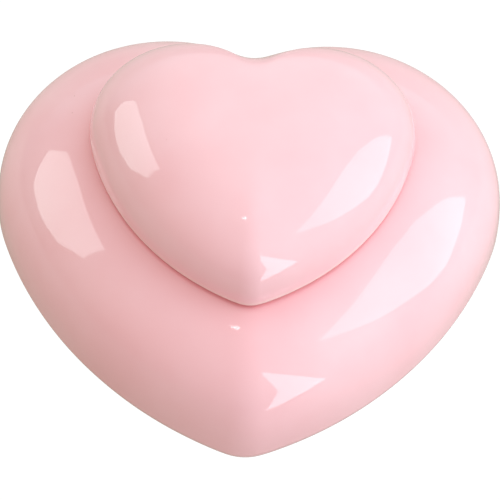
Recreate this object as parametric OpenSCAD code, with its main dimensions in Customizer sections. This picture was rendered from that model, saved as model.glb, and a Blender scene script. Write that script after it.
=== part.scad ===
// Heart-shaped trinket box: a slip-cast glazed jar, its lift-off lid and three felt feet.
// Lengths are in millimetres. +Z is up and the heart's tip points to -Y. The origin is on
// the surface that the box stands on, under the middle of the jar's length and width.

/* [Jar] */
// Width of the jar across its two lobes
jar_w = 120; // [110:1:135]
// Length of the jar from its lobes to its tip
jar_l = 111.6; // [108:0.2:116]
// Height of the jar's widest line above its foot
belly_h = 15; // [14:0.5:18]
// Height of the seat, which the lid rests on, above the widest line
seat_h = 26.3; // [24:0.1:30]
// Width of the flat foot as a share of the jar's width
foot_share = 0.62; // [0.58:0.01:0.66]

/* [Lid] */
// Width of the lid across its two lobes
lid_w = 76; // [74:0.2:78]
// Length of the lid from its lobes to its tip
lid_l = 67; // [65.5:0.1:68.5]
// Rise of the lid's dome above the lid's widest line
lid_rise = 20.2; // [18:0.2:23]
// Height of the lid's rounded edge
edge_h = 1.9; // [1.5:0.1:2.4]

/* [Ceramic] */
// Thickness of the fired wall
wall = 4; // [3.5:0.25:4.5]
// Length of the collar that keeps the lid in the mouth
collar_h = 6; // [4:0.5:8]
// Width of the mouth as a share of the lid's width
mouth_share = 0.84; // [0.82:0.01:0.86]
// Gap between the collar and the mouth at the lobes
collar_gap = 1; // [0.8:0.1:1.4]

/* [Felt pads] */
// Diameter of each felt pad
pad_d = 11; // [8:0.5:11]
// Thickness of each felt pad
pad_t = 1.2; // [1:0.1:2]

/* [Hidden] */

glaze_pink = "#F9C7CE";
felt_grey = "#CFC8C2";

// Outline radii as shares of the width: lobe, flank, tip and cleft
jar_radii = jar_w * [0.342, 0.784, 0.092, 0.072];
lid_radii = lid_w * [0.260, 0.782, 0.088, 0.135];

// Points along half an outline: cleft, three stretches of the lobe, flank and tip
arc_steps = [3, 3, 8, 2, 8, 3];

// Exponents of the superellipses that the domes and the belly follow: 2 is an ellipse
jar_dome_power = 2.61;
belly_power = 1.8;
lid_dome_power = 2.52;

// The jar's lobes reach half its length behind the origin
lobe_y = jar_l / 2 - jar_radii[0];
// Every section of the jar and of the lid shrinks towards a point just in front of the lobes
centre_share = 0.019;
heart_centre = [0, lobe_y - centre_share * jar_w];
lid_lobe_y = heart_centre.y + centre_share * lid_w;

foot_z = pad_t;
belly_z = foot_z + belly_h;
seat_z = belly_z + seat_h;
lid_wide_z = seat_z + edge_h;
seat_gap = 0.2;

// The lid's width as a share of the jar's: the jar's dome stops there, at the seat
seat_share = lid_w / jar_w;
// Full heights of the dome and the belly, of which the seat and the foot cut off the ends
jar_dome_h = dome_height(seat_h, seat_share, jar_dome_power);
belly_depth = dome_height(belly_h, foot_share, belly_power);

// The lid's crown is rounder than its rim: it blends towards a circle of this radius
crown_r = 0.4 * lid_w;
crown_blend = 0.2;

// Inside of the jar: a share of the inset outline at the mouth and at the flat floor
mouth_inside_share = mouth_share * lid_w / (jar_w - 2 * wall);
floor_share = 0.68;

// The shallow hollow under the foot, as a share of the jar's width, and its depth
hollow_share = 0.33;
hollow_depth = 1.2;

// Roundings at the mouth, the collar and the foot
mouth_round = 1;
collar_round = 1.2;
foot_round = 1.4;

// ---- Outlines ------------------------------------------------------------------------

// Points on an arc from angle a0 to angle a1, without the last one
function arc(centre, r, a0, a1, steps) = [
    for (i = [0 : steps - 1])
        let (a = a0 + (a1 - a0) * i / steps)
        centre + r * [cos(a), sin(a)]
];

// Centre of the flank arc, which runs on smoothly from the lobe and into the tip
function flank_centre(lobe, lobe_r, tip, tip_r, flank_r) =
    let (
        a = flank_r - lobe_r,
        b = flank_r - tip_r,
        d = norm(tip - lobe),
        e = (tip - lobe) / d,
        along = (a * a - b * b + d * d) / (2 * d)
    )
    lobe + along * e + sqrt(a * a - along * along) * [e.y, -e.x];

function angle_of(v) = atan2(v.y, v.x);

// Right half of a heart from its cleft to its tip; the lobe centres are on the line y = 0.
// An inset moves every arc inwards by the same distance.
function half_heart(w, l, radii, inset) =
    let (
        lobe_r = radii[0],
        flank_r = radii[1],
        tip_r = radii[2],
        cleft_r = radii[3],
        lobe = [w / 2 - lobe_r, 0],
        tip = [0, lobe_r + tip_r - l],
        cleft = [0, sqrt(pow(lobe_r + cleft_r, 2) - pow(lobe.x, 2))],
        flank = flank_centre(lobe, lobe_r, tip, tip_r, flank_r),
        lobe_start = angle_of(cleft - lobe),
        flank_start = angle_of(lobe - flank),
        flank_end = angle_of(tip - flank)
    )
    concat(
        arc(cleft, cleft_r + inset, -90, lobe_start - 180, arc_steps[0]),
        arc(lobe, lobe_r - inset, lobe_start, 90, arc_steps[1]),
        arc(lobe, lobe_r - inset, 90, 0, arc_steps[2]),
        arc(lobe, lobe_r - inset, 0, flank_start, arc_steps[3]),
        arc(flank, flank_r - inset, flank_start, flank_end, arc_steps[4]),
        arc(tip, tip_r - inset, flank_end, -90, arc_steps[5]),
        [tip - [0, tip_r - inset]]
    );

// Whole heart, clockwise from above, as offsets from the heart's centre
function heart(w, l, radii, y, inset = 0) =
    let (
        half = half_heart(w, l, radii, inset),
        last = len(half) - 1,
        left = [for (i = [last - 1 : -1 : 1]) [-half[i].x, half[i].y]]
    )
    [for (p = concat(half, left)) p + [0, y] - heart_centre];

jar_outline = heart(jar_w, jar_l, jar_radii, lobe_y);
jar_inside = heart(jar_w, jar_l, jar_radii, lobe_y, wall);
lid_outline = heart(lid_w, lid_l, lid_radii, lid_lobe_y);
lid_crown = [for (p = lid_outline) crown_r * p / norm(p)];

// ---- Profiles ------------------------------------------------------------------------

// Full height of a dome that has risen by h where its section is the given share
function dome_height(h, share, power) = h / pow(1 - pow(share, power), 1 / power);

// Share and height at step i of a dome that goes from its widest line to the last share
function dome_share(i, steps, last, power) =
    let (end = acos(pow(last, power / 2)))
    pow(cos(end * i / steps), 2 / power);
function dome_rise(share, h, power) = h * pow(max(1 - pow(share, power), 0), 1 / power);

// Quarter turn of a rounding, as [across, down] shares from 0 to 1
function quarter(i, steps) = [1 - cos(90 * i / steps), sin(90 * i / steps)];

// One closed ring of points at a height
function ring(offsets, z) = [for (p = offsets) [heart_centre.x + p.x, heart_centre.y + p.y, z]];

// Section between two outlines of one shape family: w = 0 is the first, w = 1 the second
function between(first, second, w) = (1 - w) * first + w * second;

// ---- Solids --------------------------------------------------------------------------

// Closed skin through rings that run from the inside centre, over the rim, to the outside
// centre. Turned is for rings that climb to a rim at their top, so that faces look outwards.
module skin(rings, first_z, last_z, turned) {
    n = len(rings[0]);
    m = len(rings);
    points = concat(
        [for (r = rings) for (p = r) p],
        [[heart_centre.x, heart_centre.y, first_z], [heart_centre.x, heart_centre.y, last_z]]
    );
    sides = [
        for (j = [0 : m - 2]) for (i = [0 : n - 1])
            let (a = j * n + i, b = j * n + (i + 1) % n)
            for (f = [[a, b, b + n], [a, b + n, a + n]]) f
    ];
    start_cap = [for (i = [0 : n - 1]) [m * n, (i + 1) % n, i]];
    end_cap = [for (i = [0 : n - 1]) [m * n + 1, (m - 1) * n + i, (m - 1) * n + (i + 1) % n]];
    faces = concat(sides, start_cap, end_cap);
    polyhedron(points, turned ? [for (f = faces) [f[2], f[1], f[0]]] : faces, 10);
}

module jar_body() {
    inside_dome_h = dome_height(seat_h - wall, mouth_inside_share, jar_dome_power);
    inside_depth = dome_height(belly_h - wall, floor_share, belly_power);
    mouth_outline = mouth_share * lid_outline;
    rounding = mouth_round / (lid_w / 2);
    low_steps = 5;
    high_steps = 9;
    round_steps = 3;

    // Inside, from the floor up to the widest line
    inside_low = [
        for (i = [low_steps : -1 : 1])
            let (s = dome_share(i, low_steps, floor_share, belly_power))
            ring(s * jar_inside, belly_z - dome_rise(s, inside_depth, belly_power))
    ];
    // Inside, from the widest line up to the mouth, whose shape follows the lid
    inside_high = [
        for (i = [0 : high_steps])
            let (
                s = dome_share(i, high_steps, mouth_inside_share, jar_dome_power),
                w = (1 - s) / (1 - mouth_inside_share)
            )
            ring(s * between(jar_inside, mouth_outline / mouth_inside_share, w),
                belly_z + dome_rise(s, inside_dome_h, jar_dome_power))
    ];
    // Rounded edge of the mouth
    mouth_edge = [
        for (i = [0 : round_steps])
            let (q = quarter(i, round_steps))
            ring((mouth_share + rounding * q.x) * lid_outline, seat_z - mouth_round * (1 - q.y))
    ];
    // Outside, from the seat's edge down to the widest line
    outside_high = [
        for (i = [high_steps : -1 : 0])
            let (
                s = dome_share(i, high_steps, seat_share, jar_dome_power),
                w = (1 - s) / (1 - seat_share)
            )
            ring(s * between(jar_outline, lid_outline / seat_share, w),
                belly_z + dome_rise(s, jar_dome_h, jar_dome_power))
    ];
    // Outside, from the widest line down to the rounded foot
    outside_low = [
        for (i = [1 : low_steps])
            let (s = dome_share(i, low_steps, foot_share, belly_power))
            ring(s * jar_outline,
                max(belly_z - dome_rise(s, belly_depth, belly_power), foot_z + foot_round / 4))
    ];
    foot = [
        ring((foot_share - foot_round / jar_w) * jar_outline, foot_z),
        ring((hollow_share + foot_round / jar_w) * jar_outline, foot_z),
        ring(hollow_share * jar_outline, foot_z + hollow_depth)
    ];
    color(glaze_pink)
        skin(concat(inside_low, inside_high, mouth_edge, outside_high, outside_low, foot),
            belly_z - belly_h + wall, foot_z + hollow_depth, true);
}

module lid() {
    collar_share = mouth_share - collar_gap / (lid_w / 2);
    collar_inside = collar_share - wall / (lid_w / 2);
    collar_low_z = seat_z - collar_h;
    inside_share = 1 - wall / (lid_w / 2);
    inside_wide_z = lid_wide_z + wall / 2;
    inside_rise = lid_wide_z + lid_rise - wall - inside_wide_z;
    flange_t = wall * 0.75;
    underside_share = 1 - edge_h / (lid_w / 2);
    rounding = collar_round / (lid_w / 2);
    dome_steps = 11;
    inside_steps = 7;
    round_steps = 3;
    least_share = 0.12;

    // Outline of a section of the dome, rounder towards the crown
    function crowned(s) = between(lid_outline, lid_crown, crown_blend * (1 - s * s));

    // Inside of the dome, from near its crown down to its widest line
    inside = [
        for (i = [inside_steps : -1 : 0])
            let (s = dome_share(i, inside_steps, least_share, lid_dome_power))
            ring(s * inside_share * crowned(s),
                inside_wide_z + dome_rise(s, inside_rise, lid_dome_power))
    ];
    // Inside, curving in from the widest line to the collar
    shoulder = [
        for (i = [1 : round_steps])
            let (q = quarter(i, round_steps))
            ring((inside_share - (inside_share - collar_inside) * q.x) * lid_outline,
                inside_wide_z - (inside_wide_z - seat_z - seat_gap - flange_t) * q.y)
    ];
    // Collar, rounded at its lower edge
    collar = concat(
        [
            for (i = [0 : round_steps])
                let (q = quarter(i, round_steps))
                ring((collar_inside + rounding * q.x) * lid_outline,
                    collar_low_z + collar_round * (1 - q.y))
        ],
        [
            for (i = [round_steps : -1 : 0])
                let (q = quarter(i, round_steps))
                ring((collar_share - rounding * q.x) * lid_outline,
                    collar_low_z + collar_round * (1 - q.y))
        ],
        [ring(collar_share * lid_outline, seat_z + seat_gap)]
    );
    // Edge of the lid, rounded from its flat underside to its widest line
    edge = [
        for (i = [0 : round_steps])
            let (q = quarter(i, round_steps))
            ring((underside_share + (1 - underside_share) * q.y) * lid_outline,
                lid_wide_z - (edge_h - seat_gap) * (1 - q.x))
    ];
    // Dome from the widest line to near its crown
    dome = [
        for (i = [1 : dome_steps])
            let (s = dome_share(i, dome_steps, least_share, lid_dome_power))
            ring(s * crowned(s), lid_wide_z + dome_rise(s, lid_rise, lid_dome_power))
    ];
    color(glaze_pink)
        skin(concat(inside, shoulder, collar, edge, dome),
            inside_wide_z + inside_rise, lid_wide_z + lid_rise, false);
}

// One felt disc under the foot
module foot_pad(place) {
    color(felt_grey)
        translate([place.x, place.y, 0])
            cylinder(h = pad_t, d = pad_d, $fn = 48);
}

// The pads lie on the flat ring of the foot, under the two lobes and near the tip
side_pad = [0.217 * jar_w, heart_centre.y + 0.075 * jar_w];
tip_pad = [0, heart_centre.y - 0.255 * jar_w];

module foot_pad_left() { foot_pad([-side_pad.x, side_pad.y]); }
module foot_pad_right() { foot_pad(side_pad); }
module foot_pad_tip() { foot_pad(tip_pad); }

jar_body();
lid();
foot_pad_left();
foot_pad_right();
foot_pad_tip();
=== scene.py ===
# %% [markdown]
# # A glazed earthenware heart box
#
# The box is two hollow castings in white earthenware under one pale pink glaze: a large puffy
# heart, the jar, and a smaller puffy heart, its loose lid. Three felt pads keep the bare foot
# off the table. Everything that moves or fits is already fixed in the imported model, so this
# script only rebuilds the skins at full smoothness and gives them their finishes.
#
# The frame comes first. The outer sizes are read from it, most other sizes are shares of those,
# and the few that belong to the clay itself, such as the wall, are written in millimetres.

# %% Load the fixed frame
import math

import bpy
import numpy as np
from mathutils import Matrix, Vector, noise


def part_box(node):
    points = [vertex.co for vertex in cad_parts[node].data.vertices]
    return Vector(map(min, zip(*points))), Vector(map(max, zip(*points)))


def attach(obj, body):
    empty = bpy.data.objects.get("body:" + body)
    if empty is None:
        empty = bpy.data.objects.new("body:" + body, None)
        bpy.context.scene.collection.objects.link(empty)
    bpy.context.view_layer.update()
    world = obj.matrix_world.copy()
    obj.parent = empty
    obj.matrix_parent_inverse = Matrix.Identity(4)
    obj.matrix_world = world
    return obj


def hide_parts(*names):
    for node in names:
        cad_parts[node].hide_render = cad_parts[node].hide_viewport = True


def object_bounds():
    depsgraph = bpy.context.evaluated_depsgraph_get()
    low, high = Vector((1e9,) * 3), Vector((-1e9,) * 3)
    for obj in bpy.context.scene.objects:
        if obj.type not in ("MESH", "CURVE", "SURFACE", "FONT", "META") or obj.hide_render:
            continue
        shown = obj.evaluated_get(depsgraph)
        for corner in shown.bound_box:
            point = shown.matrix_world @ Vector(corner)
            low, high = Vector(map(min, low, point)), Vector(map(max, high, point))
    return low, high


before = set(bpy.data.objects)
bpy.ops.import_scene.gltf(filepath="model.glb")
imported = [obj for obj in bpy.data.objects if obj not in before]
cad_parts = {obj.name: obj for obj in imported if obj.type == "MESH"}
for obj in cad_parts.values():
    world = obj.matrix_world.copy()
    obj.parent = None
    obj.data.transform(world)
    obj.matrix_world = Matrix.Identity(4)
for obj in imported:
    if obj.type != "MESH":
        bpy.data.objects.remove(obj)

MM = 0.001
cad_low, cad_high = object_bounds()
jar_low, jar_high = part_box("jar_body")
lid_low, lid_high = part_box("lid")
print("whole box, mm:", [round(side / MM, 1) for side in cad_high - cad_low])

# %% [markdown]
# ## The two hearts as outlines
#
# A potter's heart template is made of arcs that run into each other: a fillet in the cleft, a
# lobe, a long flank and a small tip. The same can be drawn as a Bezier curve, but arcs keep
# every radius a plain number. The right half is drawn from cleft to tip and then mirrored.
#
# Arcs change radius suddenly where they meet, and a glossy surface shows that as a kink in each
# reflection. Wet slip has no such kinks, so the outline is blurred by a millimetre or two.

# %% Sizes and radii of the hearts
jar_width = jar_high.x - jar_low.x
jar_length = jar_high.y - jar_low.y
lid_width = lid_high.x - lid_low.x
lid_length = lid_high.y - lid_low.y
jar_radii = {"lobe": 0.342 * jar_width, "flank": 0.784 * jar_width,
             "tip": 0.092 * jar_width, "cleft": 0.072 * jar_width}
lid_radii = {"lobe": 0.260 * lid_width, "flank": 0.782 * lid_width,
             "tip": 0.088 * lid_width, "cleft": 0.135 * lid_width}
for heart_name, radii in (("jar", jar_radii), ("lid", lid_radii)):
    print(heart_name, "radii, mm:", {part: round(size / MM, 1) for part, size in radii.items()})

# %% Arcs of half a heart
ARC_STEPS = {"cleft": 10, "lobe_back": 14, "lobe_side": 40, "lobe_front": 12, "flank": 44, "tip": 10}


def arc(centre, radius, start, end, steps):
    """Points from angle start to angle end, in radians, without the last one."""
    angles = start + (end - start) * np.arange(steps) / steps
    return centre + radius * np.column_stack([np.cos(angles), np.sin(angles)])


def angle_of(vector):
    return math.atan2(vector[1], vector[0])


def half_heart(width, length, radii, inset):
    """Right half from cleft to tip, with the lobe centres on the line y = 0."""
    lobe = np.array([width / 2 - radii["lobe"], 0.0])
    tip = np.array([0.0, radii["lobe"] + radii["tip"] - length])
    cleft = np.array([0.0, math.sqrt((radii["lobe"] + radii["cleft"]) ** 2 - lobe[0] ** 2)])
    # The flank arc holds the lobe and the tip inside it and touches both
    to_lobe = radii["flank"] - radii["lobe"]
    to_tip = radii["flank"] - radii["tip"]
    apart = np.linalg.norm(tip - lobe)
    along = (tip - lobe) / apart
    reach = (to_lobe ** 2 - to_tip ** 2 + apart ** 2) / (2 * apart)
    across = np.array([along[1], -along[0]])
    flank = lobe + reach * along + math.sqrt(to_lobe ** 2 - reach ** 2) * across
    lobe_start = angle_of(cleft - lobe)
    flank_start = angle_of(lobe - flank)
    flank_end = angle_of(tip - flank)
    down = -math.pi / 2
    return np.vstack([
        arc(cleft, radii["cleft"] + inset, down, lobe_start - math.pi, ARC_STEPS["cleft"]),
        arc(lobe, radii["lobe"] - inset, lobe_start, -down, ARC_STEPS["lobe_back"]),
        arc(lobe, radii["lobe"] - inset, -down, 0, ARC_STEPS["lobe_side"]),
        arc(lobe, radii["lobe"] - inset, 0, flank_start, ARC_STEPS["lobe_front"]),
        arc(flank, radii["flank"] - inset, flank_start, flank_end, ARC_STEPS["flank"]),
        arc(tip, radii["tip"] - inset, flank_end, down, ARC_STEPS["tip"]),
        [tip + [0, inset - radii["tip"]]],
    ])


print("points on half a heart:", len(half_heart(jar_width, jar_length, jar_radii, 0.0)))

# %% Whole outlines, softened
EVEN_POINTS = 4096
JAR_BLUR = 1.6 * MM
LID_BLUR = 1.1 * MM


def blurred(points, blur):
    """The closed outline with its bends evened out over a distance of about blur."""
    closed = np.vstack([points, points[:1]])
    lengths = np.linalg.norm(np.diff(closed, axis=0), axis=1)
    travelled = np.concatenate([[0], np.cumsum(lengths)])
    even = np.arange(EVEN_POINTS) * travelled[-1] / EVEN_POINTS
    distance = np.minimum(even, travelled[-1] - even)
    bell = np.exp(-0.5 * (distance / blur) ** 2)
    bell_wave = np.fft.fft(bell / bell.sum())
    soft = np.empty_like(points)
    for axis in (0, 1):
        track = np.interp(even, travelled, closed[:, axis])
        track = np.real(np.fft.ifft(np.fft.fft(track) * bell_wave))
        soft[:, axis] = np.interp(travelled[:-1], even, track, period=travelled[-1])
    return soft


def heart(width, length, radii, lobe_y, inset=0.0, blur=JAR_BLUR):
    """Whole outline, as offsets from the point that every section shrinks towards."""
    half = half_heart(width, length, radii, inset)
    left = half[-2:0:-1] * [-1, 1]
    whole = blurred(np.vstack([half, left]), blur)
    return whole + [0, lobe_y] - heart_centre


wall = 4 * MM
jar_lobe_y = jar_high.y - jar_radii["lobe"]
lid_lobe_y = lid_high.y - lid_radii["lobe"]
centre_in_front = 0.019 * jar_width
heart_centre = np.array([0.0, jar_lobe_y - centre_in_front])

jar_outline = heart(jar_width, jar_length, jar_radii, jar_lobe_y)
jar_inside = heart(jar_width, jar_length, jar_radii, jar_lobe_y, inset=wall)
lid_outline = heart(lid_width, lid_length, lid_radii, lid_lobe_y, blur=LID_BLUR)
print("points round each heart:", len(jar_outline))

# %% [markdown]
# ## Domes between the outlines
#
# A puffy heart is a stack of sections. Going up, each section is a smaller share of the
# widest one, and share and height lie on a superellipse, which is fuller than an ellipse when
# its exponent is over 2. A sculpted or subdivided blob would also look puffy, but stacked
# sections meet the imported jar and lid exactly.

# %% Sections and superellipses
JAR_DOME_POWER = 2.61
BELLY_POWER = 1.8
LID_DOME_POWER = 2.52
CROWDING = 1.3


def ring(offsets, height):
    """One closed ring of points at a height."""
    flat = offsets + heart_centre
    return np.column_stack([flat, np.full(len(flat), height)])


def dome_shares(last_share, power, steps):
    """Shares from 1 to last_share, closer together near the widest line."""
    turn = math.acos(last_share ** (power / 2)) * (np.arange(steps + 1) / steps) ** CROWDING
    return np.cos(turn) ** (2 / power)


def rise(share, power):
    """Height of a superellipse of height 1 where its section is that share."""
    return max(1 - share ** power, 0) ** (1 / power)


def between(first, second, weight):
    """The first where weight is 0, the second where it is 1."""
    return (1 - weight) * first + weight * second


def rounding(steps):
    """Quarter turn as (across, down) shares from 0 to 1."""
    turns = np.linspace(0, math.pi / 2, steps + 1)
    return [(1 - math.cos(turn), math.sin(turn)) for turn in turns]


for dome, power in (("jar", JAR_DOME_POWER), ("lid", LID_DOME_POWER)):
    print(dome, "dome is half as wide at", round(rise(0.5, power), 3), "of its height")

# %% [markdown]
# ## From rings to a skin
#
# Each casting is one closed skin: it starts at the middle of the inside, runs out over the rim
# and ends at the middle of the outside. Rings of quads do this with one loop, and they leave
# clean loops of faces where the glaze stops. Each ring carries two notes: which finish the
# band after it has, and a glaze note. Above 0 the glaze is paler, where it runs off a sharp edge,
# and on the lid's turned edge that paler pink is a painted highlight. Below 0 it is a deeper
# pink, painted shade in the corner under the lid's edge and on the jar beside the lid.

# %% Skin builder
GLAZED = 0
BARE = 1


class Skin:
    """Rings with their finish and glaze notes, which become one mesh."""

    def __init__(self):
        self.rings = []
        self.finish = []
        self.thin_glaze_and_painted_light = []

    def add(self, offsets, height, finish=GLAZED, thin_glaze_and_painted_light=0.0):
        self.rings.append(ring(offsets, height))
        self.finish.append(finish)
        self.thin_glaze_and_painted_light.append(thin_glaze_and_painted_light)

    def build(self, name, first_height, last_height):
        """Mesh object with quads between the rings and a fan at each end."""
        count = len(self.rings[0])
        ends = [[heart_centre[0], heart_centre[1], height] for height in (first_height, last_height)]
        points = np.vstack(self.rings + [ends])
        first = len(points) - 2
        last = len(points) - 1
        faces = []
        finish = []
        for j in range(len(self.rings) - 1):
            for i in range(count):
                here = j * count + i
                beside = j * count + (i + 1) % count
                faces.append((here, here + count, beside + count, beside))
                finish.append(self.finish[j])
        top = (len(self.rings) - 1) * count
        for i in range(count):
            beside = (i + 1) % count
            faces.append((first, i, beside))
            finish.append(self.finish[0])
            faces.append((last, top + beside, top + i))
            finish.append(self.finish[-1])
        mesh = bpy.data.meshes.new(name)
        mesh.from_pydata(points.tolist(), [], faces)
        mesh.polygons.foreach_set("material_index", finish)
        thin_glaze_and_painted_light = mesh.attributes.new("glaze_thin_and_painted_light", "FLOAT", "POINT")
        thin_glaze_and_painted_light.data.foreach_set("value", list(np.repeat(self.thin_glaze_and_painted_light, count)) + [0.0, 0.0])
        mesh.shade_smooth()
        mesh.update()
        piece = bpy.data.objects.new(name, mesh)
        bpy.context.scene.collection.objects.link(piece)
        print(name, "has", len(points), "points and", len(faces), "faces")
        return piece


print("material slots on a casting: glaze", GLAZED, "and bare clay", BARE)

# %% [markdown]
# ## The jar
#
# Slip poured into a plaster mould leaves an even wall, so the inside follows the outside
# 4 mm away. The mouth's edge is sponged round, most of the seat is wiped bare so that the lid
# doesn't fuse to it in the kiln, and the foot is a flat bare ring round a shallow hollow.
# Beside and just under the lid's edge the jar is painted a deeper pink, painted shade where the lid
# meets it.

# %% Jar sizes
foot_z = jar_low.z
seat_z = jar_high.z
belly_height = 15 * MM
belly_z = foot_z + belly_height
seat_share = lid_width / jar_width
foot_share = 0.62
mouth_share = 0.84
mouth_inside_share = mouth_share * lid_width / (jar_width - 2 * wall)
floor_share = 0.68
hollow_share = 0.33
hollow_depth = 1.2 * MM
foot_round = 1.4 * MM
foot_step = 0.5 * MM
mouth_round = 1.0 * MM
bare_seat_share = 0.93
lid_half = lid_width / 2

jar_dome_height = (seat_z - belly_z) / rise(seat_share, JAR_DOME_POWER)
belly_depth = (belly_z - foot_z) / rise(foot_share, BELLY_POWER)
inside_dome_height = (seat_z - wall - belly_z) / rise(mouth_inside_share, JAR_DOME_POWER)
inside_depth = (belly_z - foot_z - wall) / rise(floor_share, BELLY_POWER)
mouth_outline = mouth_share * lid_outline
print("jar dome, mm:", round(jar_dome_height / MM, 1), "and belly, mm:", round(belly_depth / MM, 1))

# %% Jar skin
RIM_THINNING = 0.8
SEAT_THINNING = 0.2
# Painted shade: a deeper pink in the corner under the lid's edge and on the jar beside the lid
CORNER_PAINTED_SHADE = 0.75
BESIDE_LID_PAINTED_SHADE = 0.45
PAINTED_SHADE_BAND = 5 * MM


def jar_skin():
    """The jar from the middle of its floor, over the mouth, to the middle of its underside."""
    skin = Skin()
    floor_z = foot_z + wall
    for share in np.linspace(0.05, 0.95, 8):
        skin.add(share * floor_share * jar_inside, floor_z)
    for share in dome_shares(floor_share, BELLY_POWER, 16)[:0:-1]:
        skin.add(share * jar_inside, belly_z - inside_depth * rise(share, BELLY_POWER))
    for share in dome_shares(mouth_inside_share, JAR_DOME_POWER, 28):
        weight = (1 - share) / (1 - mouth_inside_share)
        shape = between(jar_inside, mouth_outline / mouth_inside_share, weight)
        skin.add(share * shape, belly_z + inside_dome_height * rise(share, JAR_DOME_POWER))
    for across, down in rounding(6):
        share = mouth_share + mouth_round / lid_half * across
        skin.add(share * lid_outline, seat_z - mouth_round * (1 - down), thin_glaze_and_painted_light=RIM_THINNING * down)
    for share in np.linspace(mouth_share + 0.04, bare_seat_share, 5):
        skin.add(share * lid_outline, seat_z, finish=BARE, thin_glaze_and_painted_light=0.5)
    # The corner under the lid's edge gets painted shade, a deeper pink
    for share, thin_glaze_and_painted_light in ((0.935, SEAT_THINNING), (0.96, -CORNER_PAINTED_SHADE), (0.985, -CORNER_PAINTED_SHADE)):
        skin.add(share * lid_outline, seat_z, thin_glaze_and_painted_light=thin_glaze_and_painted_light)
    for share in dome_shares(seat_share, JAR_DOME_POWER, 64)[::-1]:
        weight = (1 - share) / (1 - seat_share)
        shape = between(jar_outline, lid_outline / seat_share, weight)
        from_lid = (share - seat_share) * jar_width / 2
        # Painted shade on the jar beside the lid, fading out over a few millimetres
        painted_shade = BESIDE_LID_PAINTED_SHADE * math.exp(-from_lid / PAINTED_SHADE_BAND)
        skin.add(share * shape, belly_z + jar_dome_height * rise(share, JAR_DOME_POWER),
                 thin_glaze_and_painted_light=-painted_shade)
    for share in dome_shares(foot_share + 0.01, BELLY_POWER, 30)[1:]:
        skin.add(share * jar_outline, belly_z - belly_depth * rise(share, BELLY_POWER))
    foot_edge = foot_share + 0.005
    for across, down in rounding(5):
        share = foot_edge - foot_round / jar_width * across
        low = foot_z + foot_step * (1 - down)
        skin.add(share * jar_outline, low, finish=BARE if down > 0.5 else GLAZED, thin_glaze_and_painted_light=down)
    for share in np.linspace(0.58, hollow_share + 0.03, 8):
        skin.add(share * jar_outline, foot_z, finish=BARE)
    for across, down in rounding(5):
        share = hollow_share + 0.02 * (1 - across)
        skin.add(share * jar_outline, foot_z + hollow_depth * down, thin_glaze_and_painted_light=1 - down)
    for share in (0.28, 0.2, 0.12, 0.05):
        skin.add(share * jar_outline, foot_z + hollow_depth)
    return skin.build("jar_casting", floor_z, foot_z + hollow_depth)


jar = jar_skin()

# %% [markdown]
# ## The lid
#
# The lid is cast the same way. Its crown is rounder than its rim, its edge is turned under
# with a small radius that makes a thin dark line all round the seat, and a collar below keeps
# it from sliding off. The inner part of its underside, which rests on the bare seat, is bare
# too, and the turned edge is painted palest, a painted highlight along it.

# %% Lid sizes
edge_height = 1.9 * MM
seat_gap = 0.2 * MM
collar_round = 1.2 * MM
flange = 3.0 * MM
lid_wide_z = seat_z + edge_height
lid_rise = lid_high.z - lid_wide_z
collar_gap = 1.0 * MM
collar_share = mouth_share - collar_gap / lid_half
collar_inside = collar_share - wall / lid_half
inside_share = 1 - wall / lid_half
inside_wide_z = lid_wide_z + wall / 2
inside_rise = lid_high.z - wall - inside_wide_z
underside_share = 1 - edge_height / lid_half
crown_radius = 0.4 * lid_width
crown_blend = 0.2
lid_crown = crown_radius * lid_outline / np.linalg.norm(lid_outline, axis=1)[:, None]
print("lid dome, mm:", round(lid_rise / MM, 1), "and collar, mm:", round((seat_z - lid_low.z) / MM, 1))

# %% Lid skin
COLLAR_THINNING = 0.7
# Painted highlight: the lid's turned edge and a thin band above it are painted pale
EDGE_PAINTED_HIGHLIGHT = 0.9
PAINTED_HIGHLIGHT_BAND = 0.45 * MM


def crowned(share):
    """Outline of a section of the lid's dome, rounder towards the crown."""
    return between(lid_outline, lid_crown, crown_blend * (1 - share ** 2))


def lid_skin():
    """The lid from the middle of its inside, round the collar and the edge, to its crown."""
    skin = Skin()
    least = 0.03
    for share in dome_shares(least, LID_DOME_POWER, 30)[::-1]:
        skin.add(share * inside_share * crowned(share),
                 inside_wide_z + inside_rise * rise(share, LID_DOME_POWER))
    for across, down in rounding(8)[1:]:
        share = inside_share - (inside_share - collar_inside) * across
        skin.add(share * lid_outline,
                 inside_wide_z - (inside_wide_z - seat_z - seat_gap - flange) * down)
    for across, down in rounding(5):
        share = collar_inside + collar_round / lid_half * across
        skin.add(share * lid_outline, lid_low.z + collar_round * (1 - down),
                 thin_glaze_and_painted_light=COLLAR_THINNING * down)
    for across, down in rounding(5)[::-1]:
        share = collar_share - collar_round / lid_half * across
        skin.add(share * lid_outline, lid_low.z + collar_round * (1 - down),
                 finish=BARE if down < 0.3 else GLAZED, thin_glaze_and_painted_light=COLLAR_THINNING * down)
    under_z = seat_z + seat_gap
    for share in (collar_share, between(collar_share, underside_share, 0.6)):
        skin.add(share * lid_outline, under_z, finish=BARE)
    skin.add(between(collar_share, underside_share, 0.65) * lid_outline, under_z)
    # The turned edge is painted pale, a painted highlight
    for across, down in rounding(10):
        share = underside_share + (1 - underside_share) * down
        height = lid_wide_z - (edge_height - seat_gap) * (1 - across)
        skin.add(share * lid_outline, height, thin_glaze_and_painted_light=EDGE_PAINTED_HIGHLIGHT * across)
    for share in dome_shares(least, LID_DOME_POWER, 84)[1:]:
        climb = lid_rise * rise(share, LID_DOME_POWER)
        skin.add(share * crowned(share), lid_wide_z + climb,
                 thin_glaze_and_painted_light=EDGE_PAINTED_HIGHLIGHT * math.exp(-climb / PAINTED_HIGHLIGHT_BAND))
    return skin.build("lid_casting", inside_wide_z + inside_rise, lid_high.z)


lid = lid_skin()

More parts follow.
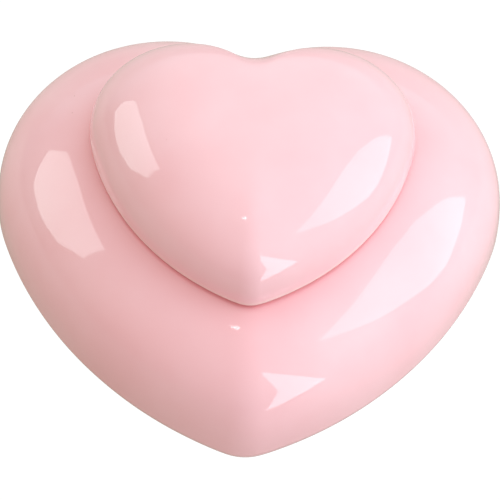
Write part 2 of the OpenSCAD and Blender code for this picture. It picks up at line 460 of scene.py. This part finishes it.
# %% [markdown]
# ## Hand-made unevenness
#
# A mould is carved and fettled by hand, and wet glaze settles in soft waves, so no reflection
# on real ware has a perfectly straight edge. A displacement modifier could do this, but moving
# the points along their normals with fixed noise keeps the bare seat flat.

# %% Soft waves in the surface
WAVE_LENGTH = 19 * MM
WAVE_HEIGHT = 0.05 * MM
SEED_STEP = Vector((7.3, 1.9, 4.1))


def add_waves(piece, seed):
    """Moves the glazed points in and out a little, and leaves the bare rings as they are."""
    mesh = piece.data
    bare_points = set()
    for face in mesh.polygons:
        if face.material_index == BARE:
            bare_points.update(face.vertices)
    normals = [vertex.normal.copy() for vertex in mesh.vertices]
    shift = seed * SEED_STEP
    largest = 0.0
    for vertex, normal in zip(mesh.vertices, normals):
        if vertex.index not in bare_points:
            wave = WAVE_HEIGHT * noise.noise(vertex.co / WAVE_LENGTH + shift)
            # Only inwards, so that the casting stays within the imported part's size
            vertex.co -= normal * (WAVE_HEIGHT + wave) / 2
            largest = max(largest, abs(wave))
    mesh.update()
    print(piece.name, "waves up to", round(largest / MM, 3), "mm")


add_waves(jar, seed=1)
add_waves(lid, seed=2)

# %% [markdown]
# ## Ridges rounded with a sponge
#
# Fettling with a damp sponge rounds the ridges at the tip and the cleft a little more than the
# arcs do. Evening out the shading normals along each ring gives that look without moving the
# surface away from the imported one. The edges that run round the box keep their crispness.

# %% Sponged ridges
SPONGED_POINTS = 10
LEAST_SIZE = 0.2


def sponge_ridges(piece):
    """Blurs the shading normals along every ring, and more on the small rings near a crown."""
    mesh = piece.data
    count = len(jar_outline)
    normals = np.array([vertex.normal[:] for vertex in mesh.vertices])
    widths = np.array([abs(vertex.co.x) for vertex in mesh.vertices])
    rings = normals[:-2].reshape(-1, count, 3)
    sizes = widths[:-2].reshape(-1, count).max(axis=1) / widths.max()
    step = np.arange(count)
    step = np.minimum(step, count - step)
    bells = np.exp(-0.5 * (step * np.maximum(sizes, LEAST_SIZE)[:, None] / SPONGED_POINTS) ** 2)
    bell_waves = np.fft.fft(bells, axis=1)[:, :, None]
    soft = np.fft.ifft(np.fft.fft(rings, axis=1) * bell_waves, axis=1).real
    soft /= np.linalg.norm(soft, axis=2)[:, :, None]
    turned = np.degrees(np.arccos(np.clip((soft * rings).sum(axis=2), -1, 1)))
    normals[:-2] = soft.reshape(-1, 3)
    mesh.normals_split_custom_set_from_vertices(normals.tolist())
    print(piece.name, "normals turned by up to", round(float(turned.max()), 1), "degrees")


sponge_ridges(jar)
sponge_ridges(lid)

# %% [markdown]
# ## Felt pads
#
# Each pad is a punched disc of pressed wool felt. The punch crushes its edges, and loose fibres
# make the side uneven. Hair particles would show every fibre, but the pads sit in a gap of
# about a millimetre, so a turned disc with a fuzzy side is enough.

# %% Felt pads
CRUSHED_SHARE = 0.3
PAD_POINTS = 96
FUZZ_SIZE = 0.7 * MM
FUZZ_SHARE = 0.02


def felt_pad(node_name, seed):
    """A punched disc with crushed edges and a slightly fuzzy side."""
    low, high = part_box(node_name)
    middle = (low + high) / 2
    radius = (high.x - low.x) / 2
    crush = CRUSHED_SHARE * (high.z - low.z)
    flat_part = [0.3, 0.6, 0.85]
    profile = [(share * (radius - crush), low.z) for share in flat_part]
    profile += [(radius - crush * (1 - down), low.z + crush * inwards)
                for inwards, down in rounding(4)]
    profile += [(radius - crush * inwards, high.z - crush * (1 - down))
                for inwards, down in rounding(4)]
    profile += [(share * (radius - crush), high.z) for share in flat_part[::-1]]
    points = [(middle.x, middle.y, low.z)]
    for out, height in profile:
        for i in range(PAD_POINTS):
            angle = 2 * math.pi * i / PAD_POINTS
            spot = Vector((math.cos(angle) * out, math.sin(angle) * out, height))
            fuzz = abs(noise.noise(spot / FUZZ_SIZE + Vector((seed, 0, 0))))
            spot *= 1 - FUZZ_SHARE * fuzz
            points.append((middle.x + spot.x, middle.y + spot.y, height))
    points.append((middle.x, middle.y, high.z))
    faces = []
    top = 1 + (len(profile) - 1) * PAD_POINTS
    for i in range(PAD_POINTS):
        beside = (i + 1) % PAD_POINTS
        faces.append((0, 1 + beside, 1 + i))
        faces.append((len(points) - 1, top + i, top + beside))
        for first in range(1, top, PAD_POINTS):
            above = first + PAD_POINTS
            faces.append((first + i, first + beside, above + beside, above + i))
    mesh = bpy.data.meshes.new(node_name + "_felt")
    mesh.from_pydata(points, [], faces)
    mesh.shade_smooth()
    piece = bpy.data.objects.new(node_name + "_felt", mesh)
    bpy.context.scene.collection.objects.link(piece)
    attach(piece, "jar")
    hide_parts(node_name)
    return piece


pad_names = ["foot_pad_left", "foot_pad_right", "foot_pad_tip"]
pads = [felt_pad(name, seed) for seed, name in enumerate(pad_names)]
print("felt pads:", len(pads))

# %% [markdown]
# ## What the castings ride on
#
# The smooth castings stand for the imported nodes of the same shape, so each one hides its node
# and rides on its body.

# %% Join the castings to their bodies
for casting, body, node_name in ((jar, "jar", "jar_body"), (lid, "lid", "lid")):
    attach(casting, body)
    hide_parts(node_name)
    print(casting.name, "rides on", body)

# %% [markdown]
# ## Materials
#
# Colours are written as sRGB hex values, as a glaze chart gives them, and one function turns
# them into the linear values that Blender works in. Another function adds a node with its
# settings, values and links. All patterns are drawn in the object's own millimetres.

# %% Colour and node helpers
MIX_FACTOR, MIX_FIRST, MIX_SECOND, MIXED = 0, 6, 7, 2


def linear(hex_code):
    """Linear RGBA of an sRGB hex colour such as #EEB5B4."""
    channels = [int(hex_code[i:i + 2], 16) / 255 for i in (1, 3, 5)]
    return [c / 12.92 if c <= 0.04045 else ((c + 0.055) / 1.055) ** 2.4 for c in channels] + [1.0]


def add(tree, kind, values=None, links=None, **settings):
    """Adds a node. Settings are its own choices, values and links go to its inputs."""
    new = tree.nodes.new(kind)
    for name, value in settings.items():
        setattr(new, name, value)
    for name, value in (values or {}).items():
        new.inputs[name].default_value = value
    for name, socket in (links or {}).items():
        tree.links.new(socket, new.inputs[name])
    return new


def new_material(name):
    """An empty node material, its tree and the object's coordinates."""
    material = bpy.data.materials.new(name)
    material.use_nodes = True
    tree = material.node_tree
    tree.nodes.clear()
    return material, tree, add(tree, "ShaderNodeTexCoord").outputs["Object"]


print("a mid grey of #808080 is", round(linear("#808080")[0], 3), "in linear light")

# %% [markdown]
# ## Glazed earthenware
#
# The body is white earthenware and the colour is in the glaze: a glass of IOR about 1.52,
# clouded with a pink stain, sprayed on and fired. The eye gets sharp reflections over a soft
# colour, faint mottling where the spray lay thicker, a ripple of a few microns, a rare pinhole
# where a gas bubble broke, drawn a darker pink, and paler edges where the glaze ran thin. On the
# lid's turned edge the pale pink is a painted highlight, and the deeper pink on the jar beside
# and under the lid's edge is painted shade. A picture of a glaze would give the mottling but
# neither the ripple nor the true reflections.

# %% Pink glaze
GLAZE_IOR = 1.52
GLAZE_ROUGHNESS = 0.05
MOTTLE_SIZE = 22 * MM
RIPPLE_SIZE = 3.0 * MM
RIPPLE_HEIGHT = 0.004 * MM
PINHOLE_SPACING = 12 * MM
PINHOLE_RADIUS = 0.2 * MM
PINHOLE_DEPTH = 0.1 * MM
LIGHT_SPRAY, HEAVY_SPRAY = linear("#FBCFD6"), linear("#F9C8CF")
# A deeper pink of painted shade beside the lid, a paler pink for thin glaze that is also a painted
# highlight on the lid's edge, and a darker pink in the pinholes
PAINTED_SHADE_PINK, THIN_GLAZE_AND_PAINTED_HIGHLIGHT, IN_PINHOLE = linear("#EFA3A8"), linear("#FBDDD9"), linear("#E3A9A8")


def pink_glaze():
    material, tree, place = new_material("pink_glazed_earthenware")
    mottle = add(tree, "ShaderNodeTexNoise", {"Scale": 1 / MOTTLE_SIZE, "Detail": 3.0},
                 {"Vector": place})
    thickness = add(tree, "ShaderNodeMapRange", {"From Min": 0.35, "From Max": 0.65},
                    {"Value": mottle.outputs["Fac"]})
    sprayed = add(tree, "ShaderNodeMix", {MIX_FIRST: LIGHT_SPRAY, MIX_SECOND: HEAVY_SPRAY},
                  {MIX_FACTOR: thickness.outputs["Result"]}, data_type="RGBA")
    thin_glaze_and_painted_light = add(tree, "ShaderNodeAttribute", attribute_name="glaze_thin_and_painted_light")
    # Below 0 the note gives painted shade, a deeper pink beside and under the lid's edge
    painted_shade_amount = add(tree, "ShaderNodeMath", {1: -1.0}, {0: thin_glaze_and_painted_light.outputs["Fac"]},
                operation="MULTIPLY", use_clamp=True)
    painted_shade = add(tree, "ShaderNodeMix", {MIX_SECOND: PAINTED_SHADE_PINK},
                 {MIX_FACTOR: painted_shade_amount.outputs["Value"], MIX_FIRST: sprayed.outputs[MIXED]},
                 data_type="RGBA")
    # Above 0 the note paints a paler pink: thin glaze on sharp edges, and a painted highlight on the
    # lid's turned edge
    colour = add(tree, "ShaderNodeMix", {MIX_SECOND: THIN_GLAZE_AND_PAINTED_HIGHLIGHT},
                 {MIX_FACTOR: thin_glaze_and_painted_light.outputs["Fac"], MIX_FIRST: painted_shade.outputs[MIXED]},
                 data_type="RGBA")
    holes = add(tree, "ShaderNodeTexVoronoi", {"Scale": 1 / PINHOLE_SPACING}, {"Vector": place})
    hole_share = PINHOLE_RADIUS / PINHOLE_SPACING
    depth = add(tree, "ShaderNodeMapRange", {"From Min": 0.0, "From Max": hole_share},
                {"Value": holes.outputs["Distance"]})
    # Each pinhole is drawn a darker pink
    darker_in_pinholes = add(tree, "ShaderNodeMix", {MIX_FIRST: IN_PINHOLE},
                  {MIX_FACTOR: depth.outputs["Result"], MIX_SECOND: colour.outputs[MIXED]},
                  data_type="RGBA")
    ripple = add(tree, "ShaderNodeTexNoise", {"Scale": 1 / RIPPLE_SIZE, "Detail": 2.0},
                 {"Vector": place})
    rippled = add(tree, "ShaderNodeBump", {"Distance": RIPPLE_HEIGHT},
                  {"Height": ripple.outputs["Fac"]})
    pitted = add(tree, "ShaderNodeBump", {"Distance": PINHOLE_DEPTH},
                 {"Height": depth.outputs["Result"], "Normal": rippled.outputs["Normal"]})
    shader = add(tree, "ShaderNodeBsdfPrincipled",
                 {"IOR": GLAZE_IOR, "Roughness": GLAZE_ROUGHNESS},
                 {"Base Color": darker_in_pinholes.outputs[MIXED], "Normal": pitted.outputs["Normal"]})
    add(tree, "ShaderNodeOutputMaterial", links={"Surface": shader.outputs["BSDF"]})
    return material


glaze = pink_glaze()
print(glaze.name, "has one pinhole about every", round(PINHOLE_SPACING / MM), "mm")

# %% [markdown]
# ## Bare clay
#
# Where the glaze is wiped away, white earthenware shows: an off-white biscuit, dull and
# slightly sandy, with a faint warm cast. It keeps the seat from sticking in the kiln. Its real
# grains are a few hundredths of a millimetre, so they are drawn coarser here, to show at all.

# %% Bare biscuit
GRAIN_SIZE = 0.45 * MM
GRAIN_HEIGHT = 0.03 * MM
GRAIN_SHADE, GRAIN_LIGHT = linear("#E9DED0"), linear("#F4ECE2")


def bare_biscuit():
    material, tree, place = new_material("bare_earthenware_biscuit")
    grain = add(tree, "ShaderNodeTexNoise", {"Scale": 1 / GRAIN_SIZE, "Detail": 4.0},
                {"Vector": place})
    colour = add(tree, "ShaderNodeMix", {MIX_FIRST: GRAIN_SHADE, MIX_SECOND: GRAIN_LIGHT},
                 {MIX_FACTOR: grain.outputs["Fac"]}, data_type="RGBA")
    sandy = add(tree, "ShaderNodeBump", {"Distance": GRAIN_HEIGHT}, {"Height": grain.outputs["Fac"]})
    shader = add(tree, "ShaderNodeBsdfPrincipled", {"Roughness": 0.85},
                 {"Base Color": colour.outputs[MIXED], "Normal": sandy.outputs["Normal"]})
    add(tree, "ShaderNodeOutputMaterial", links={"Surface": shader.outputs["BSDF"]})
    return material


biscuit = bare_biscuit()
print(biscuit.name, "has a grain of", round(GRAIN_SIZE / MM, 2), "mm")

# %% [markdown]
# ## Pressed wool felt
#
# Felt has no weave, only matted fibres, so it looks soft and lightless, with a faint halo of
# loose fibre at grazing angles. Sheen gives the halo, and twisted noise gives the matting, in
# tufts of half a millimetre, because single wool fibres of 0.03 mm are too fine to show.

# %% Wool felt
TUFT_SIZE = 0.5 * MM
TUFT_HEIGHT = 0.12 * MM
TUFT_SHADE, TUFT_LIGHT = linear("#CFC8BC"), linear("#EDE8DF")


def wool_felt():
    material, tree, place = new_material("pressed_wool_felt")
    fibres = add(tree, "ShaderNodeTexNoise",
                 {"Scale": 1 / TUFT_SIZE, "Detail": 6.0, "Roughness": 0.7, "Distortion": 1.5},
                 {"Vector": place})
    colour = add(tree, "ShaderNodeMix", {MIX_FIRST: TUFT_SHADE, MIX_SECOND: TUFT_LIGHT},
                 {MIX_FACTOR: fibres.outputs["Fac"]}, data_type="RGBA")
    matted = add(tree, "ShaderNodeBump", {"Distance": TUFT_HEIGHT}, {"Height": fibres.outputs["Fac"]})
    shader = add(tree, "ShaderNodeBsdfPrincipled", {"Roughness": 1.0, "Sheen Weight": 0.6},
                 {"Base Color": colour.outputs[MIXED], "Normal": matted.outputs["Normal"]})
    add(tree, "ShaderNodeOutputMaterial", links={"Surface": shader.outputs["BSDF"]})
    return material


felt = wool_felt()
for casting in (jar, lid):
    casting.data.materials.append(glaze)
    casting.data.materials.append(biscuit)
for pad in pads:
    pad.data.materials.append(felt)
print("castings take", glaze.name, "and", biscuit.name, "and pads take", felt.name)

# %% [markdown]
# ## The table
#
# A sheet of white card lies under the box and curves up far behind it, so that there is no
# horizon. It also bounces light up under the belly, which a bare world would not do. Studio
# card shines plain white in the lens, yet it may not flood the box with light, so it has a
# white face for the camera and a greyer one for the light. The greyer face also glows faintly
# warm, painted bounce light on the box on top of the light the card really reflects.

# %% Paper sweep
PAPER_HALF_WIDTH = 1.6
PAPER_FRONT = -1.2
PAPER_BACK = 1.3
SWEEP_RADIUS = 0.5
CARD_TOOTH = 1.5 * MM
TOOTH_HEIGHT = 0.02 * MM
CARD_GREY = linear("#95918F")
# The card's faint warm glow is painted bounce light
CARD_BOUNCE_TINT = (1.0, 0.95, 0.69, 1.0)
CARD_PAINTED_BOUNCE_GLOW = 0.22
LENS_WHITE = 1.05


def paper_sweep():
    """A flat sheet that curves upwards at the back."""
    profile = [(PAPER_FRONT, 0.0), (PAPER_BACK, 0.0)]
    profile += [(PAPER_BACK + SWEEP_RADIUS * down, SWEEP_RADIUS * inwards)
                for inwards, down in rounding(24)[1:]]
    points = [(side * PAPER_HALF_WIDTH, y, z) for y, z in profile for side in (-1, 1)]
    faces = [(2 * i, 2 * i + 1, 2 * i + 3, 2 * i + 2) for i in range(len(profile) - 1)]
    mesh = bpy.data.meshes.new("paper_sweep")
    mesh.from_pydata(points, [], faces)
    mesh.shade_smooth()
    sheet = bpy.data.objects.new("paper_sweep", mesh)
    bpy.context.scene.collection.objects.link(sheet)
    return sheet


def white_card():
    """Matt card, plain white to the camera and greyer to every other ray, with a faint warm glow of
    painted bounce light.
    """
    material, tree, place = new_material("matt_white_card")
    tooth = add(tree, "ShaderNodeTexNoise", {"Scale": 1 / CARD_TOOTH, "Detail": 2.0},
                {"Vector": place})
    rough = add(tree, "ShaderNodeBump", {"Distance": TOOTH_HEIGHT}, {"Height": tooth.outputs["Fac"]})
    card = add(tree, "ShaderNodeBsdfPrincipled",
               {"Base Color": CARD_GREY, "Roughness": 0.9,
                "Emission Color": CARD_BOUNCE_TINT, "Emission Strength": CARD_PAINTED_BOUNCE_GLOW},
               {"Normal": rough.outputs["Normal"]})
    white = add(tree, "ShaderNodeEmission", {"Color": linear("#FFFFFF"), "Strength": LENS_WHITE})
    ray = add(tree, "ShaderNodeLightPath").outputs["Is Camera Ray"]
    shown = add(tree, "ShaderNodeMixShader",
                links={0: ray, 1: card.outputs["BSDF"], 2: white.outputs["Emission"]})
    add(tree, "ShaderNodeOutputMaterial", links={"Surface": shown.outputs["Shader"]})
    return material


paper = paper_sweep()
paper.data.materials.append(white_card())
print("paper", 2 * PAPER_HALF_WIDTH, "m wide")

# %% [markdown]
# ## The light
#
# Glaze is seen mostly by what it mirrors, so each light is a shape before it is a brightness. A
# large bright softbox is on the right, a dimmer one on the left, and a narrow strip shines on
# the tip from the front right. A short tube overhead makes the two bright points. Blender's
# area lights are only rectangles and ellipses, so each light is a glowing panel instead, with
# as many corners as its outline needs.
#
# Directions are (azimuth, elevation) in degrees. Azimuth 0 is the front and 90 is the right.

# %% Glowing panels
LIGHT_DISTANCE = 0.6
box_middle = (cad_low + cad_high) / 2


def direction(azimuth, elevation):
    """Unit vector from the box towards an azimuth and elevation in degrees."""
    a = math.radians(azimuth)
    e = math.radians(elevation)
    return Vector((math.sin(a) * math.cos(e), -math.cos(a) * math.cos(e), math.sin(e)))


def glowing(name, glow):
    """Softbox cloth that gives off light. The glow is linear RGB."""
    material, tree, _ = new_material(name)
    strength = max(glow)
    colour = [part / strength for part in glow] + [1.0]
    shader = add(tree, "ShaderNodeEmission", {"Color": colour, "Strength": strength})
    add(tree, "ShaderNodeOutputMaterial", links={"Surface": shader.outputs["Emission"]})
    return material


def softbox(name, corners, glow):
    """A panel between corner directions, hidden from the camera."""
    points = [box_middle + LIGHT_DISTANCE * direction(*corner) for corner in corners]
    mesh = bpy.data.meshes.new(name)
    mesh.from_pydata(points, [], [tuple(range(len(points)))])
    panel = bpy.data.objects.new(name, mesh)
    bpy.context.scene.collection.objects.link(panel)
    mesh.materials.append(glowing(name + "_cloth", glow))
    panel.visible_camera = False
    return panel


print("the panels stand", LIGHT_DISTANCE, "m away")

# %% Three softboxes
right_box = softbox(
    "right_softbox",
    [(109.5, 14), (111.8, 31), (110.4, 43), (104, 48.7), (94.6, 50.5), (56.4, 45.7),
     (70.9, 26), (84.8, 8.3), (91, 5), (101.5, 10)],
    (3.45, 3.33, 3.49))
left_box = softbox(
    "left_softbox",
    [(-127, 24), (-128.5, 35), (-119.6, 42.3), (-97, 47), (-89, 32), (-92.6, 17.5),
     (-100.4, 12), (-107.8, 13), (-115.5, 18)],
    (2.8, 3.3, 3.15))
front_strip = softbox(
    "front_strip", [(29.3, 47.3), (47.6, 4.5), (27, -2), (32.3, 18)], (5.0, 4.8, 5.1))
for panel in (right_box, left_box, front_strip):
    print(panel.name, "has", len(panel.data.vertices), "corners")

# %% Overhead tube
TUBE_MIDDLE = direction(-50, 77)
# Half sizes as shares of the panels' distance
TUBE_HALF_WIDTH = 0.045
TUBE_HALF_DEPTH = 0.018
TUBE_CORNERS = 16
tube_corners = []
for turn in np.linspace(0, 2 * math.pi, TUBE_CORNERS + 1)[:-1]:
    edge = TUBE_MIDDLE + Vector((TUBE_HALF_WIDTH * math.cos(turn), TUBE_HALF_DEPTH * math.sin(turn), 0))
    tube_corners.append((math.degrees(math.atan2(edge.x, -edge.y)),
                         math.degrees(math.asin(edge.normalized().z))))
softbox("overhead_tube", tube_corners, (10.0, 10.0, 10.0))
print("the tube is about", round(2 * TUBE_HALF_WIDTH * LIGHT_DISTANCE / MM), "mm wide")

# %% [markdown]
# ## The room
#
# The rest of the room only fills the shadows. It could be a sky or a picture of a studio, but a
# few soft glows are enough and say plainly where the light is. Most of them are behind and on
# the right. The front and the left stay dim, so the left of both hearts is a deeper, greyer
# pink, and the lid throws a soft shadow on the jar to its left.

# %% Room light
ROOM_FOCUS = 4.0
ROOM_GLOWS = {
    "back, low": (180, 25, (0.85, 1.10, 1.16)),
    "back, high": (180, 60, (0.37, 0.29, 0.17)),
    "back right, low": (135, 25, (0.02, 0.12, 0.02)),
    "back right, high": (135, 60, (0.29, 0.20, 0.28)),
    "right, low": (90, 25, (0.20, 0.37, 0.33)),
    "right, high": (90, 60, (0.55, 0.46, 0.59)),
    "front right, low": (45, 25, (0.60, 0.79, 0.75)),
    "front right, high": (45, 60, (0.15, 0.27, 0.22)),
    "front left, low": (-45, 25, (0.60, 0.29, 0.29)),
    "front left, high": (-45, 60, (0.14, 0.07, 0.08)),
    "left, low": (-90, 25, (0.20, 0.16, 0.01)),
}


def room_light():
    """Soft glows round the box, each one a power of how squarely a direction faces it."""
    world = bpy.data.worlds.new("room")
    bpy.context.scene.world = world
    world.use_nodes = True
    tree = world.node_tree
    tree.nodes.clear()
    place = add(tree, "ShaderNodeTexCoord").outputs["Generated"]
    total = add(tree, "ShaderNodeVectorMath", {0: (0, 0, 0), 1: (0, 0, 0)}, operation="ADD")
    for name, (azimuth, elevation, glow) in ROOM_GLOWS.items():
        facing = add(tree, "ShaderNodeVectorMath", {1: direction(azimuth, elevation)},
                     {0: place}, operation="DOT_PRODUCT")
        lit = add(tree, "ShaderNodeMath", {1: 0.0}, {0: facing.outputs["Value"]},
                  operation="MAXIMUM")
        share = add(tree, "ShaderNodeMath", {1: ROOM_FOCUS}, {0: lit.outputs["Value"]},
                    operation="POWER")
        part = add(tree, "ShaderNodeVectorMath", {0: glow}, {"Scale": share.outputs["Value"]},
                   operation="SCALE", label=name)
        total = add(tree, "ShaderNodeVectorMath",
                    links={0: total.outputs["Vector"], 1: part.outputs["Vector"]},
                    operation="ADD")
    glow = add(tree, "ShaderNodeBackground", links={"Color": total.outputs["Vector"]})
    add(tree, "ShaderNodeOutputWorld", links={"Surface": glow.outputs["Background"]})


room_light()
bpy.context.scene.view_settings.view_transform = "Standard"
print("room glows:", len(ROOM_GLOWS))

# %% [markdown]
# ## The camera
#
# A long lens from high in front keeps the heart shape almost true. The camera is held slightly
# turned, so the tip points a little to the left of straight down.

# %% Camera
CAMERA_AZIMUTH = -1.62
CAMERA_ELEVATION = 55.46
CAMERA_ROLL = 3.18
CAMERA_DISTANCE = 840 * MM
LENS_MM = 261.5
SENSOR_MM = 36
NEAREST = 0.05
AIM = Vector((0.11, -11.74, 35.0)) * MM

back = direction(CAMERA_AZIMUTH, CAMERA_ELEVATION)
azimuth = math.radians(CAMERA_AZIMUTH)
across = Vector((math.cos(azimuth), math.sin(azimuth), 0))
upright = Matrix((across, back.cross(across), back)).transposed()
roll = Matrix.Rotation(math.radians(CAMERA_ROLL), 3, "Z")
camera_data = bpy.data.cameras.new("camera")
camera_data.lens = LENS_MM
camera_data.sensor_width = SENSOR_MM
camera_data.clip_start = NEAREST
camera = bpy.data.objects.new("camera", camera_data)
bpy.context.scene.collection.objects.link(camera)
camera.matrix_world = Matrix.Translation(AIM + CAMERA_DISTANCE * back) @ (upright @ roll).to_4x4()
bpy.context.scene.camera = camera
print("camera at", [round(c, 3) for c in camera.matrix_world.translation])
